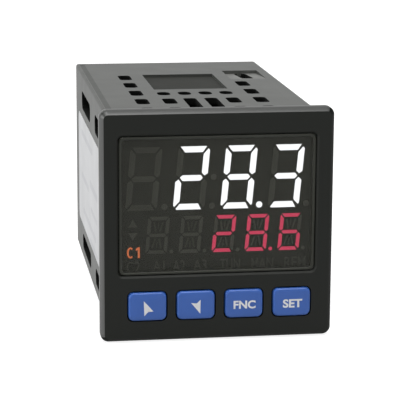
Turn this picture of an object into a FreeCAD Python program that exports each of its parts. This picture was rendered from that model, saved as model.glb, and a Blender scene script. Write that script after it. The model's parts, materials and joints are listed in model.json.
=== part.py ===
import FreeCAD, Part
import math
import os

# Panel-mount PID temperature controller. A square bezel carries the display window and four
# keys. Behind it a one-piece vented case holds a display board, two side boards, a rear board
# and four rear terminal blocks.
#
# Frame: +X to the right of someone facing the front, +Y into the panel, +Z up, millimetres.
# The origin is the centre of the panel cut-out, in the plane of the panel's front surface.

V = FreeCAD.Vector
SIDES = (-1, 1)
NEAR = 1e-6                   # two coordinates closer than this are the same

# Panel interface
CUTOUT = 45.0
CUTOUT_CLEARANCE = 0.35
GASKET_THICKNESS = 0.8
GASKET_INSET = 0.7            # from the flange's outline
GASKET_GAP = 0.1              # round the case

# Bezel
FLANGE_LIP = 1.85             # from the case's side to the flange's edge
FLANGE_THICKNESS = 3.1
FLANGE_CHAMFER = 0.8          # off the face's edges
FLANGE_CHAMFER_DEPTH = 1.3    # along the flange's sides
FLANGE_CORNER = 1.7
SIDE_BORDER = 3.7             # from the flange's edge to the window
TOP_BORDER = 5.25
BOTTOM_BORDER = 4.62          # below the keys
KEY_ROW_GAP = 3.43            # between the window and the keys
WINDOW_CORNER = 0.9
WINDOW_BEVEL = 0.45
SKIRT_LENGTH = 9.0            # collar that plugs into the case
SKIRT_WALL = 0.85
SKIRT_GAP = 0.1
BARB_HEIGHT = 0.45            # snap hooks on the collar
BARB_LENGTH = 2.2
BARB_WIDTH = 5.0
BARB_OFFSET = 8.0
BARB_CLEARANCE = 0.1
POST_WIDTH = 4.0              # posts that carry the display board's top corners

# Window lens
LENS_RECESS = 0.35
LENS_THICKNESS = 1.55
LENS_GAP = 0.12
LEDGE = 0.5                   # that the lens rests on

# Display
REFLECTOR_GAP = 0.25          # inside the ledge
REFLECTOR_CLEARANCE = 0.1     # behind the lens and inside the collar
REFLECTOR_DEPTH = 4.8         # behind the flange
SLANT = 5.2                   # degrees
PV_TOP_MARGIN = 2.56          # from the window's top to the upper digits
PV_SV_GAP = 1.35
SV_HEIGHT = 7.75
LEGEND_BAND = 4.09            # below the lower digits
PV_COUNT = 4
PV_SPACING = 3.3              # between neighbouring upper digits
PV_STROKE = 1.2
PV_SHIFT = -0.28              # of the row of digits, from the window's centre
SV_COUNT = 5
SV_SPACING = 2.4
SV_STROKE = 0.74
SV_INDENT = 4.85              # left of the lower digits
SV_SHIFT = -0.84
DOT_RATIO = 0.55              # dot radius to stroke
DOT_REACH = 2.4               # dot radii from a digit's side to its dot's centre
DOT_FACETS = 12
ARROW_WIDTH = 1.9
ARROW_HEIGHT = 1.6
ARROW_INDENT = 1.45           # from the reflector's left edge
ARROW_SPACING = 1.15
ARROW_RAISE = 1.2             # above the middle of the lower digits

# Keys
KEY_HEIGHT = 5.9
KEY_SPACING = 2.18
KEY_SHIFT = 0.5               # of the row of keys, from the flange's centre
KEY_ROW_INSET = 0.36          # from the window's sides to the outer keys' cells
KEY_CORNER = 1.0
KEY_EDGE = 0.3
KEY_PROUD = 0.6
KEY_GAP = 0.26
KEY_TRAVEL = 0.5
KEY_WEB = 1.6                 # flange thickness round the keys
KEY_SEAT = 0.05               # key lug behind the web
KEY_LUG = 1.0
KEY_LUG_HOLD = 0.35           # lug past the edge of its opening
KEY_LUG_CLEARANCE = 0.2       # above and below the lugs in the collar's notches
KEY_POST_SIZE = 2.4

# Tact switches
SWITCH_SIZE = 6.0
SWITCH_HEIGHT = 3.6
STEM_SIZE = 2.8
STEM_CLEARANCE = 0.1
STEM_REACH = 0.9              # in front of the switch
STEM_BURIED = 0.8

# Case shell
CASE_DEPTH = 78.9
CASE_WALL = 1.5
CASE_EDGE = 0.6
EDGE_GROOVE_INSET = 1.35
EDGE_GROOVE_WIDTH = 1.2
EDGE_GROOVE_DEPTH = 0.12
EDGE_GROOVE_MARGIN = 2.0      # from its end to the rear

# Vents, pocket and ramp in the top, and the same turned half round in the bottom
SLOT_WIDTH = 2.75
SLOT_LENGTH = 7.0
SLOT_CORNER = 0.85
SLOT_PITCH = 11.67
FIRST_ROW = 7.45
LEFT_ROWS = 5                 # vents in the left outer column
RIGHT_ROWS = 4
MIDDLE_ROWS = 2               # full vents in each middle column
INNER_COLUMN = 2.3
MIDDLE_COLUMN = 6.9
OUTER_COLUMN = 12.8
SHORT_SLOT_LENGTH = 4.5
SHORT_SLOT_CORNER = 1.3
SLOT_FACETS = 3               # flats in each corner of a vent or key opening
POCKET_WIDTH = 16.5
POCKET_LENGTH = 22.9
POCKET_BRIDGE = 3.8           # between the short slots and the pocket
POCKET_DEPTH = 0.55
RAMP_COLUMN = 15.5
RAMP_WIDTH = 8.3
RAMP_LENGTH = 14.0
RAMP_DEPTH = 0.8
RAMP_REAR = 63.3
RAMP_SLOT_LENGTH = 12.7       # up to the ramp's rear wall

# Side vents
SIDE_SLOT_LENGTH = 22.0
SIDE_SLOT_CORNER = 1.5
FRONT_SIDE_SLOT_END = 28.1
REAR_SIDE_SLOT_START = 39.8
UPPER_SIDE_SLOT_HEIGHT = 4.1
UPPER_SIDE_SLOT_EDGE = 3.95   # below the case's top
LOWER_SIDE_SLOT_HEIGHT = 3.5
LOWER_SIDE_SLOT_EDGE = 2.55   # above the case's bottom

# Side label
LABEL_THICKNESS = 0.1
LABEL_FRONT = 2.2
LABEL_LENGTH = 68.5
LABEL_TOP_MARGIN = 9.95
LABEL_BOTTOM_MARGIN = 8.45
LABEL_CORNER = 2.0

# Circuit boards
BOARD_THICKNESS = 1.6
BOARD_GAP = 0.2               # between a board and the walls round it
BOARD_INSET = 1.65            # between a side board and the case's wall
RAIL_HEIGHT = 1.0
RAIL_WIDTH = 0.9
RAIL_CLEARANCE = 0.1
SIDE_BOARD_SETBACK = 3.4      # behind the display board
HEADER_WIDTH = 2.5
HEADER_HEIGHT = 20.0
HEADER_OVERLAP = 3.0          # along the side board

# Power and control components
CORE_LENGTH = 14.0
CORE_HEIGHT = 18.0
CORE_WIDTH = 12.0
COIL_OVERHANG = 3.0
CORE_LEG = 3.5
COMPONENT_MARGIN = 3.0
CAPACITOR_R = 4.0
CAPACITOR_HEIGHT = 12.0
CAPACITOR_EDGE = 0.4
CAPACITOR_OFFSET = 12.0       # in front of the rear board
CAPACITOR_LEVEL = 8.0
RELAY_LENGTH = 10.0
RELAY_HEIGHT = 18.0
RELAY_DEPTH = 13.0
RELAY_EDGE = 0.5
RELAY_OFFSET = 8.0            # in front of the rear board
RELAY_SPACING = 1.0
CHIP_SIZE = 10.0
CHIP_THICKNESS = 1.4
OPTO_SIZE = 4.0
OPTO_THICKNESS = 2.4
OPTO_SPACING = 1.5

# Rear terminal blocks
TERMINAL_COUNT = 4
POLES = 6
POLE_PITCH = 5.08
TERMINAL_WIDTH = 9.3
TERMINAL_DEPTH = 12.5
TERMINAL_END = 0.3            # past the outer poles
TERMINAL_RECESS = 0.4         # inside the rear face
TERMINAL_GAP = 0.1
TERMINAL_EDGE = 0.4
ENTRY_SIZE = 3.0
ENTRY_DEPTH = 7.0
ENTRY_OFFSET = 2.2            # from the block's centre line
SCREW_WELL_OFFSET = 2.1
SCREW_WELL_SIZE = 3.6
SCREW_WELL_DEPTH = 2.4
CONTACT_THICKNESS = 0.6
CONTACT_CLEARANCE = 0.1

# Case outline
CASE_WIDTH = CUTOUT - 2 * CUTOUT_CLEARANCE
CASE_HALF = CASE_WIDTH / 2
INNER_HALF = CASE_HALF - CASE_WALL
CASE_FRONT = -GASKET_THICKNESS
REAR_WALL_Y = CASE_DEPTH - CASE_WALL

# Bezel outline
FLANGE_WIDTH = CASE_WIDTH + 2 * FLANGE_LIP
FLANGE_HALF = FLANGE_WIDTH / 2
FLANGE_REAR = -GASKET_THICKNESS
FACE = FLANGE_REAR - FLANGE_THICKNESS
SKIRT_OUTER = INNER_HALF - SKIRT_GAP
SKIRT_INNER = SKIRT_OUTER - SKIRT_WALL
SKIRT_END = FLANGE_REAR + SKIRT_LENGTH

# Window and lens
WINDOW_WIDTH = FLANGE_WIDTH - 2 * SIDE_BORDER
WINDOW_HEIGHT = FLANGE_WIDTH - TOP_BORDER - KEY_ROW_GAP - KEY_HEIGHT - BOTTOM_BORDER
WINDOW_TOP = FLANGE_HALF - TOP_BORDER
WINDOW_Z = WINDOW_TOP - WINDOW_HEIGHT / 2
LENS_FRONT = FACE + LENS_RECESS
LENS_REAR = LENS_FRONT + LENS_THICKNESS
LEDGE_WIDTH = WINDOW_WIDTH - 2 * LEDGE
LEDGE_HEIGHT = WINDOW_HEIGHT - 2 * LEDGE

# Reflector block and digit rows
REFLECTOR_FRONT = LENS_REAR + REFLECTOR_CLEARANCE
REFLECTOR_REAR = FLANGE_REAR + REFLECTOR_DEPTH
REFLECTOR_WIDTH = LEDGE_WIDTH - 2 * REFLECTOR_GAP
REFLECTOR_HEIGHT = LEDGE_HEIGHT - 2 * REFLECTOR_GAP
BLOCK_WIDTH = 2 * (SKIRT_INNER - REFLECTOR_CLEARANCE)
PV_PITCH = REFLECTOR_WIDTH / PV_COUNT
PV_WIDTH = PV_PITCH - PV_SPACING
PV_HEIGHT = WINDOW_HEIGHT - PV_TOP_MARGIN - PV_SV_GAP - SV_HEIGHT - LEGEND_BAND
PV_Z = WINDOW_TOP - PV_TOP_MARGIN - PV_HEIGHT / 2
SV_PITCH = (REFLECTOR_WIDTH - SV_INDENT) / SV_COUNT
SV_WIDTH = SV_PITCH - SV_SPACING
SV_Z = PV_Z - PV_HEIGHT / 2 - PV_SV_GAP - SV_HEIGHT / 2

# Keys and switches
KEY_PITCH = (WINDOW_WIDTH - 2 * KEY_ROW_INSET) / 4
KEY_WIDTH = KEY_PITCH - KEY_SPACING
KEY_Z = BOTTOM_BORDER + KEY_HEIGHT / 2 - FLANGE_HALF
KEY_FRONT = FACE - KEY_PROUD
KEY_WEB_REAR = FACE + KEY_WEB
KEY_LUG_FRONT = KEY_WEB_REAR + KEY_SEAT
KEY_LUG_REAR = KEY_LUG_FRONT + KEY_LUG
KEY_LUG_WIDTH = KEY_WIDTH + 2 * (KEY_GAP + KEY_LUG_HOLD)
KEY_LUG_HEIGHT = KEY_HEIGHT - 2 * KEY_CORNER
KEY_PLACES = {
    "up": KEY_SHIFT - 1.5 * KEY_PITCH,
    "down": KEY_SHIFT - 0.5 * KEY_PITCH,
    "function": KEY_SHIFT + 0.5 * KEY_PITCH,
    "set": KEY_SHIFT + 1.5 * KEY_PITCH,
}
DISPLAY_BOARD_FRONT = REFLECTOR_REAR
DISPLAY_BOARD_REAR = DISPLAY_BOARD_FRONT + BOARD_THICKNESS
SWITCH_FRONT = DISPLAY_BOARD_FRONT - SWITCH_HEIGHT
STEM_FRONT = SWITCH_FRONT - STEM_REACH

# Boards behind the display
REAR_BLOCK_Y = CASE_DEPTH - TERMINAL_RECESS
REAR_BOARD_REAR = REAR_BLOCK_Y - TERMINAL_DEPTH
REAR_BOARD_FRONT = REAR_BOARD_REAR - BOARD_THICKNESS
SIDE_BOARD_FRONT = DISPLAY_BOARD_REAR + SIDE_BOARD_SETBACK
SIDE_BOARD_REAR = REAR_BOARD_FRONT - BOARD_GAP
SIDE_BOARD_OUTER = INNER_HALF - BOARD_INSET
SIDE_BOARD_INNER = SIDE_BOARD_OUTER - BOARD_THICKNESS
RAIL_TIP = INNER_HALF - RAIL_HEIGHT

# Rear terminals
TERMINAL_HEIGHT = POLES * POLE_PITCH + 2 * TERMINAL_END
TERMINAL_PITCH = TERMINAL_WIDTH + TERMINAL_GAP
REAR_OPENING_WIDTH = TERMINAL_COUNT * TERMINAL_PITCH + TERMINAL_GAP
REAR_OPENING_HEIGHT = TERMINAL_HEIGHT + 2 * TERMINAL_GAP


def box(x0, x1, y0, y1, z0, z1):
    """Box between two values on each axis."""
    return Part.makeBox(x1 - x0, y1 - y0, z1 - z0, V(x0, y0, z0))


def centred_box(width, height, y0, y1, x=0.0, z=0.0):
    """Box from y0 to y1, centred on (x, z)."""
    return box(x - width / 2, x + width / 2, y0, y1, z - height / 2, z + height / 2)


def polygon_face(points):
    """Flat polygon in the XY plane."""
    corners = [V(x, y, 0) for x, y in points]
    return Part.Face(Part.makePolygon(corners + corners[:1]))


def corner_centres(width, height, radius):
    """Centre and start angle of each rounded corner of a rectangle about the origin."""
    x = width / 2 - radius
    y = height / 2 - radius
    return ((x, y, 0), (-x, y, 90), (-x, -y, 180), (x, -y, 270))


def facetted_face(width, height, radius):
    """Rectangle in the XY plane whose corners are rounded by a few flats each."""
    points = []
    for cx, cy, start in corner_centres(width, height, radius):
        for step in range(SLOT_FACETS + 1):
            angle = math.radians(start + 90 * step / SLOT_FACETS)
            points.append((cx + radius * math.cos(angle), cy + radius * math.sin(angle)))
    return polygon_face(points)


def rounded_face(width, height, radius):
    """Rounded rectangle in the XY plane, centred on the origin."""
    edges = []
    last = V(width / 2, radius - height / 2, 0)
    for cx, cy, start in corner_centres(width, height, radius):
        circle = Part.Circle(V(cx, cy, 0), V(0, 0, 1), radius)
        arc = Part.ArcOfCircle(circle, math.radians(start), math.radians(start + 90))
        edges.append(Part.LineSegment(last, arc.StartPoint).toShape())
        edges.append(arc.toShape())
        last = arc.EndPoint
    return Part.Face(Part.Wire(edges))


def along_x(face, x0, x1, y=0.0, z=0.0):
    """Prism of a face whose x and y become Y and Z."""
    placed = face.copy()
    placed.Placement = FreeCAD.Placement(V(x0, y, z), FreeCAD.Rotation(V(1, 1, 1), 120))
    return placed.extrude(V(x1 - x0, 0, 0))


def along_y(face, y0, y1, x=0.0, z=0.0):
    """Prism of a face whose x and y become X and Z."""
    placed = face.copy()
    placed.Placement = FreeCAD.Placement(V(x, y0, z), FreeCAD.Rotation(V(1, 0, 0), 90))
    return placed.extrude(V(0, y1 - y0, 0))


def along_z(face, z0, z1, x=0.0, y=0.0):
    """Prism of a face whose x and y stay X and Y."""
    placed = face.copy()
    placed.translate(V(x, y, z0))
    return placed.extrude(V(0, 0, z1 - z0))


def edges_at(shape, test):
    """Edges whose two ends and middle all satisfy a test of a point."""
    found = []
    for edge in shape.Edges:
        middle = edge.valueAt((edge.FirstParameter + edge.LastParameter) / 2)
        points = [vertex.Point for vertex in edge.Vertexes] + [middle]
        if all(test(point) for point in points):
            found.append(edge)
    return found


def half_turn(shape):
    """Copy turned half round the case's long axis."""
    turned = shape.copy()
    turned.rotate(V(0, 0, 0), V(0, 1, 0), 180)
    return turned


def save(name, shape):
    """Write one sub-part."""
    shape.removeSplitter().exportStep("parts/" + name + ".step")


def save_group(name, solids):
    """Write one sub-part that is a group of separate solids."""
    Part.makeCompound(solids).exportStep("parts/" + name + ".step")


# Bezel -------------------------------------------------------------------------------------

def straight_loft(sections, z):
    """Solid with straight sides between outlines set at values of Y."""
    wires = []
    for face, y in sections:
        face.Placement = FreeCAD.Placement(V(0, y, z), FreeCAD.Rotation(V(1, 0, 0), 90))
        wires.append(face.OuterWire)
    return Part.makeLoft(wires, True, True)


def make_flange():
    """Square plate with rounded corners and a chamfered front."""
    edge = FACE + FLANGE_CHAMFER_DEPTH
    face_width = FLANGE_WIDTH - 2 * FLANGE_CHAMFER
    outer = rounded_face(FLANGE_WIDTH, FLANGE_WIDTH, FLANGE_CORNER)
    inner = rounded_face(face_width, face_width, FLANGE_CORNER - FLANGE_CHAMFER)
    plate = along_y(outer, edge, FLANGE_REAR)
    return plate.fuse(straight_loft(((outer, edge), (inner, FACE)), 0.0))


def make_window_cut():
    """Lens seat with a bevelled mouth, and the smaller opening behind its ledge."""
    seat = along_y(
        rounded_face(WINDOW_WIDTH, WINDOW_HEIGHT, WINDOW_CORNER), FACE, LENS_REAR, z=WINDOW_Z
    )
    opening = centred_box(LEDGE_WIDTH, LEDGE_HEIGHT, LENS_REAR, FLANGE_REAR, z=WINDOW_Z)
    mouth = WINDOW_BEVEL + WINDOW_CORNER
    outer = rounded_face(WINDOW_WIDTH + 2 * WINDOW_BEVEL, WINDOW_HEIGHT + 2 * WINDOW_BEVEL, mouth)
    inner = rounded_face(WINDOW_WIDTH, WINDOW_HEIGHT, WINDOW_CORNER)
    bevel = straight_loft(((outer, FACE), (inner, FACE + WINDOW_BEVEL)), WINDOW_Z)
    return seat.fuse([opening, bevel])


def make_key_cuts():
    """Four key openings, the pocket behind them and notches in the collar for the key lugs."""
    hole = facetted_face(KEY_WIDTH + 2 * KEY_GAP, KEY_HEIGHT + 2 * KEY_GAP, KEY_CORNER + KEY_GAP)
    cuts = [along_y(hole, FACE, KEY_WEB_REAR, x=x, z=KEY_Z) for x in KEY_PLACES.values()]
    height = KEY_HEIGHT + 2 * KEY_GAP
    cuts.append(centred_box(2 * SKIRT_INNER, height, KEY_WEB_REAR, FLANGE_REAR, z=KEY_Z))
    height = KEY_LUG_HEIGHT + 2 * KEY_LUG_CLEARANCE
    cuts.append(centred_box(2 * INNER_HALF, height, KEY_WEB_REAR, SKIRT_END, z=KEY_Z))
    return cuts


def make_barb(side, z):
    """Snap hook on the collar, thickest towards the front."""
    start = SKIRT_END - 2 * BARB_LENGTH
    outline = [
        (SKIRT_OUTER, start),
        (SKIRT_OUTER + BARB_HEIGHT, start),
        (SKIRT_OUTER, start + BARB_LENGTH),
    ]
    barb = along_z(polygon_face(outline), z - BARB_WIDTH / 2, z + BARB_WIDTH / 2)
    return barb if side > 0 else barb.mirror(V(0, 0, 0), V(1, 0, 0))


def make_barb_socket(side, z):
    """Recess in the case's wall that a barb snaps into."""
    start = SKIRT_END - 2 * BARB_LENGTH - BARB_CLEARANCE
    depth = BARB_HEIGHT - SKIRT_GAP + BARB_CLEARANCE
    x0, x1 = sorted((side * INNER_HALF, side * (INNER_HALF + depth)))
    half = BARB_WIDTH / 2 + BARB_CLEARANCE
    return box(x0, x1, start, start + BARB_LENGTH + 2 * BARB_CLEARANCE, z - half, z + half)


def make_bezel():
    """Flange, collar, snap hooks, board posts and the rib between display and keys."""
    collar = centred_box(2 * SKIRT_OUTER, 2 * SKIRT_OUTER, FLANGE_REAR, SKIRT_END)
    collar = collar.cut(centred_box(2 * SKIRT_INNER, 2 * SKIRT_INNER, FLANGE_REAR, SKIRT_END))
    post_height = SKIRT_INNER - (WINDOW_Z + REFLECTOR_HEIGHT / 2) - REFLECTOR_CLEARANCE
    adds = [collar]
    for side in SIDES:
        x = side * (SKIRT_INNER - POST_WIDTH / 2)
        z = SKIRT_INNER - post_height / 2
        adds.append(
            centred_box(POST_WIDTH, post_height, FLANGE_REAR, DISPLAY_BOARD_FRONT, x=x, z=z)
        )
        for level in SIDES:
            adds.append(make_barb(side, level * BARB_OFFSET))
    rib_top = WINDOW_Z - LEDGE_HEIGHT / 2 - REFLECTOR_CLEARANCE
    rib_bottom = KEY_Z + KEY_HEIGHT / 2 + KEY_GAP
    adds.append(
        box(-SKIRT_INNER, SKIRT_INNER, FLANGE_REAR, DISPLAY_BOARD_FRONT, rib_bottom, rib_top)
    )
    body = make_flange().fuse(adds)
    return body.cut([make_window_cut()] + make_key_cuts())


def make_lens():
    """Window pane that rests on the bezel's ledge."""
    face = rounded_face(
        WINDOW_WIDTH - 2 * LENS_GAP, WINDOW_HEIGHT - 2 * LENS_GAP, WINDOW_CORNER - LENS_GAP
    )
    return along_y(face, LENS_FRONT, LENS_REAR, z=WINDOW_Z)


def make_gasket():
    """Flat seal behind the flange, round the case."""
    outer = FLANGE_WIDTH - 2 * GASKET_INSET
    ring = along_y(rounded_face(outer, outer, FLANGE_CORNER), FLANGE_REAR, 0)
    inner = CASE_WIDTH + 2 * GASKET_GAP
    return ring.cut(centred_box(inner, inner, FLANGE_REAR, 0))


# Display -----------------------------------------------------------------------------------

def mirrored(points, flip_x, flip_z):
    """Outline reflected in one or both axes."""
    return [(flip_x * x, flip_z * z) for x, z in points]


def seven_segments(width, height, stroke):
    """Outlines of the segments a to g of an upright digit about its centre, cut back in strokes."""
    right = width / 2
    top = height / 2
    bar = [
        (-right + 0.36 * stroke, top),
        (right - 0.36 * stroke, top),
        (right - 1.05 * stroke, top - stroke),
        (-right + 1.05 * stroke, top - stroke),
    ]
    side = [
        (right, top - 0.54 * stroke),
        (right - 0.22 * stroke, top - 0.33 * stroke),
        (right - stroke, top - 1.34 * stroke),
        (right - stroke, 0.76 * stroke),
        (right - 0.52 * stroke, 0.22 * stroke),
        (right, 0.62 * stroke),
    ]
    middle = [
        (-right + 0.59 * stroke, 0),
        (-right + 1.07 * stroke, 0.48 * stroke),
        (right - 1.07 * stroke, 0.48 * stroke),
        (right - 0.59 * stroke, 0),
        (right - 1.07 * stroke, -0.48 * stroke),
        (-right + 1.07 * stroke, -0.48 * stroke),
    ]
    return {
        "a": bar,
        "b": side,
        "c": mirrored(side, 1, -1),
        "d": mirrored(bar, 1, -1),
        "e": mirrored(side, -1, -1),
        "f": mirrored(side, -1, 1),
        "g": middle,
    }


def slanted_prism(points, x, z):
    """Light pipe through the reflector, leaning with the digits."""
    lean = math.tan(math.radians(SLANT))
    face = polygon_face([(px + pz * lean, pz) for px, pz in points])
    return along_y(face, REFLECTOR_FRONT, REFLECTOR_REAR, x=x, z=z)


def dot_face(radius):
    """Regular polygon in the XY plane for a digit's dot."""
    points = []
    for step in range(DOT_FACETS):
        angle = 2 * math.pi * step / DOT_FACETS
        points.append((radius * math.cos(angle), radius * math.sin(angle)))
    return polygon_face(points)


def digit_row(places, z, size, shown):
    """Lit and unlit light pipes of a row of digits, as two lists."""
    width, height, stroke = size
    radius = DOT_RATIO * stroke
    lean = math.tan(math.radians(SLANT))
    dot_x = width / 2 + DOT_REACH * radius - lean * height / 2
    dot = dot_face(radius)
    lit = []
    unlit = []
    for x, letters in zip(places, shown):
        for letter, outline in seven_segments(width, height, stroke).items():
            group = lit if letter in letters else unlit
            group.append(slanted_prism(outline, x, z))
        group = lit if "." in letters else unlit
        dot_z = z - height / 2 + radius
        group.append(along_y(dot, REFLECTOR_FRONT, REFLECTOR_REAR, x=x + dot_x, z=dot_z))
    return lit, unlit


def make_arrows():
    """Two small triangular light pipes left of the lower digits."""
    x = ARROW_INDENT + ARROW_WIDTH / 2 - REFLECTOR_WIDTH / 2
    half = ARROW_WIDTH / 2
    base = ARROW_SPACING / 2
    tip = base + ARROW_HEIGHT
    solids = []
    for sign in SIDES:
        points = [(-half, sign * base), (half, sign * base), (0, sign * tip)]
        face = polygon_face(points)
        z = SV_Z + ARROW_RAISE
        solids.append(along_y(face, REFLECTOR_FRONT, REFLECTOR_REAR, x=x, z=z))
    return solids


def digit_places(count, pitch, left, shift):
    """Centres of a row of digits that starts at a left edge."""
    return [left + shift + (index + 0.5) * pitch for index in range(count)]


def make_reflector(pipes):
    """Opaque block behind the lens, with an aperture for each light pipe."""
    front = centred_box(
        REFLECTOR_WIDTH, REFLECTOR_HEIGHT, REFLECTOR_FRONT, REFLECTOR_REAR, z=WINDOW_Z
    )
    body = centred_box(BLOCK_WIDTH, REFLECTOR_HEIGHT, FLANGE_REAR, REFLECTOR_REAR, z=WINDOW_Z)
    return front.fuse(body).removeSplitter().cut(pipes)


# Keys and switches -------------------------------------------------------------------------

def make_key(x):
    """Key cap with lugs that hold it behind the bezel and a post that works its switch."""
    face = rounded_face(KEY_WIDTH, KEY_HEIGHT, KEY_CORNER)
    cap = along_y(face, KEY_FRONT, KEY_LUG_REAR, x=x, z=KEY_Z)
    front = edges_at(cap, lambda point: abs(point.y - KEY_FRONT) < NEAR)
    cap = cap.makeChamfer(KEY_EDGE, front)
    lugs = centred_box(KEY_LUG_WIDTH, KEY_LUG_HEIGHT, KEY_LUG_FRONT, KEY_LUG_REAR, x=x, z=KEY_Z)
    post = centred_box(KEY_POST_SIZE, KEY_POST_SIZE, KEY_LUG_REAR, STEM_FRONT, x=x, z=KEY_Z)
    return cap.fuse([lugs, post])


def make_switch(x):
    """Switch housing on the display board, with a square well for its stem."""
    body = centred_box(SWITCH_SIZE, SWITCH_SIZE, SWITCH_FRONT, DISPLAY_BOARD_FRONT, x=x, z=KEY_Z)
    size = STEM_SIZE + 2 * STEM_CLEARANCE
    floor = SWITCH_FRONT + STEM_BURIED + KEY_TRAVEL + STEM_CLEARANCE
    return body.cut(centred_box(size, size, SWITCH_FRONT, floor, x=x, z=KEY_Z))


def make_stem(x):
    """Square stem that a key pushes into its switch."""
    rear = SWITCH_FRONT + STEM_BURIED
    return centred_box(STEM_SIZE, STEM_SIZE, STEM_FRONT, rear, x=x, z=KEY_Z)


# Case --------------------------------------------------------------------------------------

def row_y(row):
    """Centre of a row of vents, counted from the front."""
    return FIRST_ROW + row * SLOT_PITCH


def make_top_vents():
    """All the openings through the top wall."""
    slot = facetted_face(SLOT_WIDTH, SLOT_LENGTH, SLOT_CORNER)
    double = facetted_face(SLOT_WIDTH, SLOT_LENGTH + SLOT_PITCH, SLOT_CORNER)
    short = facetted_face(SLOT_WIDTH, SHORT_SLOT_LENGTH, SHORT_SLOT_CORNER)
    ramp_slot = facetted_face(SLOT_WIDTH, RAMP_SLOT_LENGTH, SLOT_CORNER)
    z0 = RAIL_TIP - RAIL_HEIGHT
    z1 = CASE_HALF
    cuts = []
    for row in range(LEFT_ROWS):
        cuts.append(along_z(slot, z0, z1, x=-OUTER_COLUMN, y=row_y(row)))
    for row in range(RIGHT_ROWS):
        cuts.append(along_z(slot, z0, z1, x=OUTER_COLUMN, y=row_y(row)))
    short_y = row_y(MIDDLE_ROWS) - SLOT_LENGTH / 2 + SHORT_SLOT_LENGTH / 2
    for side in SIDES:
        for row in range(MIDDLE_ROWS):
            cuts.append(along_z(slot, z0, z1, x=side * MIDDLE_COLUMN, y=row_y(row)))
        cuts.append(along_z(short, z0, z1, x=side * MIDDLE_COLUMN, y=short_y))
        cuts.append(along_z(double, z0, z1, x=side * INNER_COLUMN, y=row_y(0.5)))
        cuts.append(along_z(short, z0, z1, x=side * INNER_COLUMN, y=short_y))
    ramp_y = RAMP_REAR - RAMP_SLOT_LENGTH / 2
    cuts.append(along_z(ramp_slot, z0, z1, x=RAMP_COLUMN, y=ramp_y))
    return cuts


def make_pocket():
    """Shallow recess behind the vents."""
    start = row_y(MIDDLE_ROWS) - SLOT_LENGTH / 2 + SHORT_SLOT_LENGTH + POCKET_BRIDGE
    floor = CASE_HALF - POCKET_DEPTH
    half = POCKET_WIDTH / 2
    return box(-half, half, start, start + POCKET_LENGTH, floor, CASE_HALF)


def make_ramp():
    """Wedge that deepens towards a rear wall."""
    start = RAMP_REAR - RAMP_LENGTH
    floor = CASE_HALF - RAMP_DEPTH
    profile = [(start, CASE_HALF), (RAMP_REAR, CASE_HALF), (RAMP_REAR, floor)]
    left = RAMP_COLUMN - RAMP_WIDTH / 2
    return along_x(polygon_face(profile), left, left + RAMP_WIDTH)


def make_edge_groove():
    """Shallow valley along the left edge of the top."""
    x = EDGE_GROOVE_INSET - CASE_HALF
    half = EDGE_GROOVE_WIDTH / 2
    floor = CASE_HALF - EDGE_GROOVE_DEPTH
    valley = polygon_face([(x - half, CASE_HALF), (x, floor), (x + half, CASE_HALF)])
    return along_y(valley, CASE_FRONT, CASE_DEPTH - EDGE_GROOVE_MARGIN)


def make_side_vents():
    """Four long slots through each side wall."""
    cuts = []
    levels = (
        (CASE_HALF - UPPER_SIDE_SLOT_EDGE - UPPER_SIDE_SLOT_HEIGHT / 2, UPPER_SIDE_SLOT_HEIGHT),
        (LOWER_SIDE_SLOT_EDGE + LOWER_SIDE_SLOT_HEIGHT / 2 - CASE_HALF, LOWER_SIDE_SLOT_HEIGHT),
    )
    centres = (
        FRONT_SIDE_SLOT_END - SIDE_SLOT_LENGTH / 2,
        REAR_SIDE_SLOT_START + SIDE_SLOT_LENGTH / 2,
    )
    for z, height in levels:
        face = facetted_face(SIDE_SLOT_LENGTH, height, SIDE_SLOT_CORNER)
        for y in centres:
            for side in SIDES:
                x0, x1 = sorted((side * INNER_HALF, side * CASE_HALF))
                cuts.append(along_x(face, x0, x1, y=y, z=z))
    return cuts


def make_rails():
    """Pairs of ribs on the top and bottom walls that hold the side boards' edges."""
    rails = []
    inner_rail = SIDE_BOARD_INNER - RAIL_CLEARANCE
    outer_rail = SIDE_BOARD_OUTER + RAIL_CLEARANCE
    y0 = SKIRT_END + BOARD_GAP
    y1 = SIDE_BOARD_REAR
    for side in SIDES:
        for near, far in ((inner_rail - RAIL_WIDTH, inner_rail), (outer_rail, INNER_HALF)):
            x0, x1 = sorted((side * near, side * far))
            rails.append(box(x0, x1, y0, y1, RAIL_TIP, INNER_HALF))
            rails.append(box(x0, x1, y0, y1, -INNER_HALF, -RAIL_TIP))
    return rails


def make_board_stops():
    """Corner blocks inside the rear wall that the rear board seats against."""
    stops = []
    x_in = REAR_OPENING_WIDTH / 2
    z_in = REAR_OPENING_HEIGHT / 2
    for side in SIDES:
        x0, x1 = sorted((side * x_in, side * INNER_HALF))
        for level in SIDES:
            z0, z1 = sorted((level * z_in, level * INNER_HALF))
            stops.append(box(x0, x1, REAR_BOARD_REAR, REAR_WALL_Y, z0, z1))
    return stops


def make_case():
    """Shell open at the front, vented, railed inside, with a rear opening for the terminals."""
    face = rounded_face(CASE_WIDTH, CASE_WIDTH, CASE_EDGE)
    shell = along_y(face, CASE_FRONT, CASE_DEPTH)
    rear = edges_at(shell, lambda point: abs(point.y - CASE_DEPTH) < NEAR)
    shell = shell.makeChamfer(CASE_EDGE / 2, rear)
    shell = shell.cut(centred_box(2 * INNER_HALF, 2 * INNER_HALF, CASE_FRONT, REAR_WALL_Y))
    shell = shell.fuse(make_rails() + make_board_stops())
    top = make_top_vents() + [make_pocket(), make_ramp(), make_edge_groove()]
    bottom = [half_turn(cut) for cut in top]
    sockets = [make_barb_socket(side, level * BARB_OFFSET) for side in SIDES for level in SIDES]
    opening = centred_box(REAR_OPENING_WIDTH, REAR_OPENING_HEIGHT, REAR_WALL_Y, CASE_DEPTH)
    return shell.cut(top + bottom + make_side_vents() + sockets + [opening])


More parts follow.
